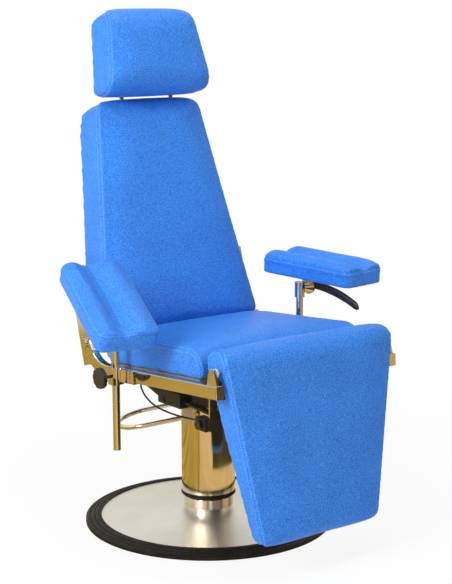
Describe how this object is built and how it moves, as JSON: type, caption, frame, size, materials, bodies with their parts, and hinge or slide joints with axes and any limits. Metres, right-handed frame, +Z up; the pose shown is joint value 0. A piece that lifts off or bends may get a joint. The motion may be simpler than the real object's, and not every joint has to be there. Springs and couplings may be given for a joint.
{
  "type": "reclining phlebotomy chair",
  "caption": "Reclining blood-draw chair on a round base: height column, swivel seat, back, headrest, leg rest and arm rests that slide, turn and tilt",
  "frame": {"origin": "on the floor, on the axis of the lift column, in the middle of the base's flat underside", "axes": "+Z up; the sitter looks along -Y; +X is the sitter's left"},
  "size_m": [0.8333, 0.7942, 1.2564],
  "materials": {
    "upholstery": "satin",
    "shell_vinyl": "matte",
    "plywood": "satin",
    "plate_steel": "brushed",
    "brushed_cover": "brushed",
    "black_rubber": "matte",
    "chrome": "polished",
    "black_paint": "satin",
    "black_plastic": "satin",
    "cable_black": "satin",
    "white_plastic": "satin"
  },
  "bodies": {
    "base": {"base_plate": "plate_steel", "base_rim": "black_rubber", "base_cover": "brushed_cover", "column_collar": "chrome", "buffer_ring": "black_rubber", "inner_column": "plate_steel", "lift_cylinder": "black_paint"},
    "lift": {"column_sleeve": "chrome", "column_head": "plate_steel", "lift_rod": "chrome", "guide_bushes": "white_plastic"},
    "seat_frame": {"swivel_hub": "plate_steel", "frame_cheeks": "black_paint", "cross_tubes": "black_paint", "rail_left": "chrome", "rail_right": "chrome", "rail_caps": "chrome", "seat_board": "plywood", "seat_cushion": "upholstery", "leg_lugs": "chrome", "pivot_bolts": "chrome", "pivot_caps": "white_plastic", "spring_bracket": "black_paint", "front_hanger": "chrome", "release_head": "black_plastic", "release_housing": "black_plastic", "release_cable": "cable_black", "arm_clamp_left": "chrome", "arm_clamp_right": "chrome"},
    "backrest": {"back_cushion": "upholstery", "back_board": "shell_vinyl", "back_brackets": "chrome", "back_lever": "chrome", "headrest_sockets": "black_plastic"},
    "headrest": {"head_cushion": "upholstery", "head_board": "shell_vinyl", "head_posts": "chrome"},
    "leg_rest": {"leg_cushion": "upholstery", "leg_board": "shell_vinyl", "leg_brackets": "black_paint"},
    "back_spring_tube": {"back_spring_cylinder": "black_paint"},
    "back_spring_stem": {"back_spring_rod": "chrome"},
    "foot_bar": {"height_bar": "chrome"},
    "lock_button": {"release_button": "black_plastic"},
    "tension_screw": {"tension_knob": "black_plastic"},
    "arm_post_left": {"arm_post_left": "chrome"},
    "arm_turn_left": {"arm_head_left": "chrome"},
    "arm_rest_left": {"arm_bracket_left": "chrome", "arm_pad_left": "upholstery"},
    "arm_handle_left": {"arm_lever_left": "black_plastic"},
    "arm_screw_left": {"arm_knob_left": "black_plastic"},
    "arm_post_right": {"arm_post_right": "chrome"},
    "arm_turn_right": {"arm_head_right": "chrome"},
    "arm_rest_right": {"arm_bracket_right": "chrome", "arm_pad_right": "upholstery"},
    "arm_handle_right": {"arm_lever_right": "black_plastic"},
    "arm_screw_right": {"arm_knob_right": "black_plastic"}
  },
  "joints": [
    {"name": "height_lift", "type": "slide", "parent": "base", "child": "lift", "axis": [0, 0, 1], "range_m": [0, 0.15]},
    {"name": "seat_swivel", "type": "hinge", "parent": "lift", "child": "seat_frame", "pos_m": [0, 0, 0.31], "axis": [0, 0, 1], "continuous": true},
    {"name": "back_recline", "type": "hinge", "parent": "seat_frame", "child": "backrest", "pos_m": [0, 0.14283, 0.46193], "axis": [-1, 0, 0], "range_deg": [0, 55]},
    {"name": "headrest_height", "type": "slide", "parent": "backrest", "child": "headrest", "axis": [0, 0.2656, 0.9641], "range_m": [0, 0.08]},
    {"name": "leg_raise", "type": "hinge", "parent": "seat_frame", "child": "leg_rest", "pos_m": [0, -0.36606, 0.48204], "axis": [-1, 0, 0], "range_deg": [0, 70]},
    {"name": "back_spring_swing", "type": "hinge", "parent": "seat_frame", "child": "back_spring_tube", "pos_m": [-0.16, -0.06, 0.346], "axis": [1, 0, 0], "range_deg": [-2, 1]},
    {"name": "back_spring_stroke", "type": "slide", "parent": "back_spring_tube", "child": "back_spring_stem", "axis": [0, 0.9605, 0.2784], "range_m": [-0.058, 0.0005]},
    {"name": "foot_bar_press", "type": "hinge", "parent": "seat_frame", "child": "foot_bar", "pos_m": [-0.03947, 0.02904, 0.283], "axis": [-0.5926, -0.8055, 0], "range_deg": [0, 10], "stiffness_Nm_per_rad": 12, "springref_deg": -5.73},
    {"name": "lock_button_press", "type": "slide", "parent": "seat_frame", "child": "lock_button", "axis": [1, 0, 0], "range_m": [0, 0.004], "stiffness_N_per_m": 1500, "springref_m": -0.002},
    {"name": "tension_screw_turn", "type": "hinge", "parent": "seat_frame", "child": "tension_screw", "pos_m": [-0.157, -0.198, 0.315], "axis": [1, 0, 0], "range_deg": [-360, 360]},
    {"name": "arm_height_left", "type": "slide", "parent": "seat_frame", "child": "arm_post_left", "axis": [0, 0, 1], "range_m": [-0.04, 0.13]},
    {"name": "arm_turn_left", "type": "hinge", "parent": "arm_post_left", "child": "arm_turn_left", "pos_m": [0.283, -0.017, 0.54], "axis": [0, 0, 1], "range_deg": [-8, 75]},
    {"name": "arm_tilt_left", "type": "hinge", "parent": "arm_turn_left", "child": "arm_rest_left", "pos_m": [0.283, -0.017, 0.56], "axis": [0.9903, 0.1392, 0], "range_deg": [-12, 40]},
    {"name": "arm_handle_left", "type": "hinge", "parent": "arm_rest_left", "child": "arm_handle_left", "pos_m": [0.283, -0.017, 0.56], "axis": [0.9903, 0.1392, 0], "range_deg": [0, 30]},
    {"name": "arm_screw_left", "type": "hinge", "parent": "seat_frame", "child": "arm_screw_left", "pos_m": [0.322, -0.017, 0.414], "axis": [1, 0, 0], "range_deg": [-360, 360]},
    {"name": "arm_height_right", "type": "slide", "parent": "seat_frame", "child": "arm_post_right", "axis": [0, 0, 1], "range_m": [-0.04, 0.13]},
    {"name": "arm_turn_right", "type": "hinge", "parent": "arm_post_right", "child": "arm_turn_right", "pos_m": [-0.283, -0.017, 0.548], "axis": [0, 0, -1], "range_deg": [-12, 24]},
    {"name": "arm_tilt_right", "type": "hinge", "parent": "arm_turn_right", "child": "arm_rest_right", "pos_m": [-0.283, -0.017, 0.568], "axis": [0.9759, -0.2181, 0], "range_deg": [-36, 19]},
    {"name": "arm_handle_right", "type": "hinge", "parent": "arm_rest_right", "child": "arm_handle_right", "pos_m": [-0.283, -0.017, 0.568], "axis": [-0.9759, 0.2181, 0], "range_deg": [0, 30]},
    {"name": "arm_screw_right", "type": "hinge", "parent": "seat_frame", "child": "arm_screw_right", "pos_m": [-0.322, -0.017, 0.414], "axis": [1, 0, 0], "range_deg": [-360, 360]}
  ],
  "couplings": [
    {"joint": "back_spring_swing", "follows": "back_recline", "ratio": -0.0054},
    {"joint": "back_spring_stroke", "follows": "back_recline", "m_per_rad": -0.058}
  ]
}
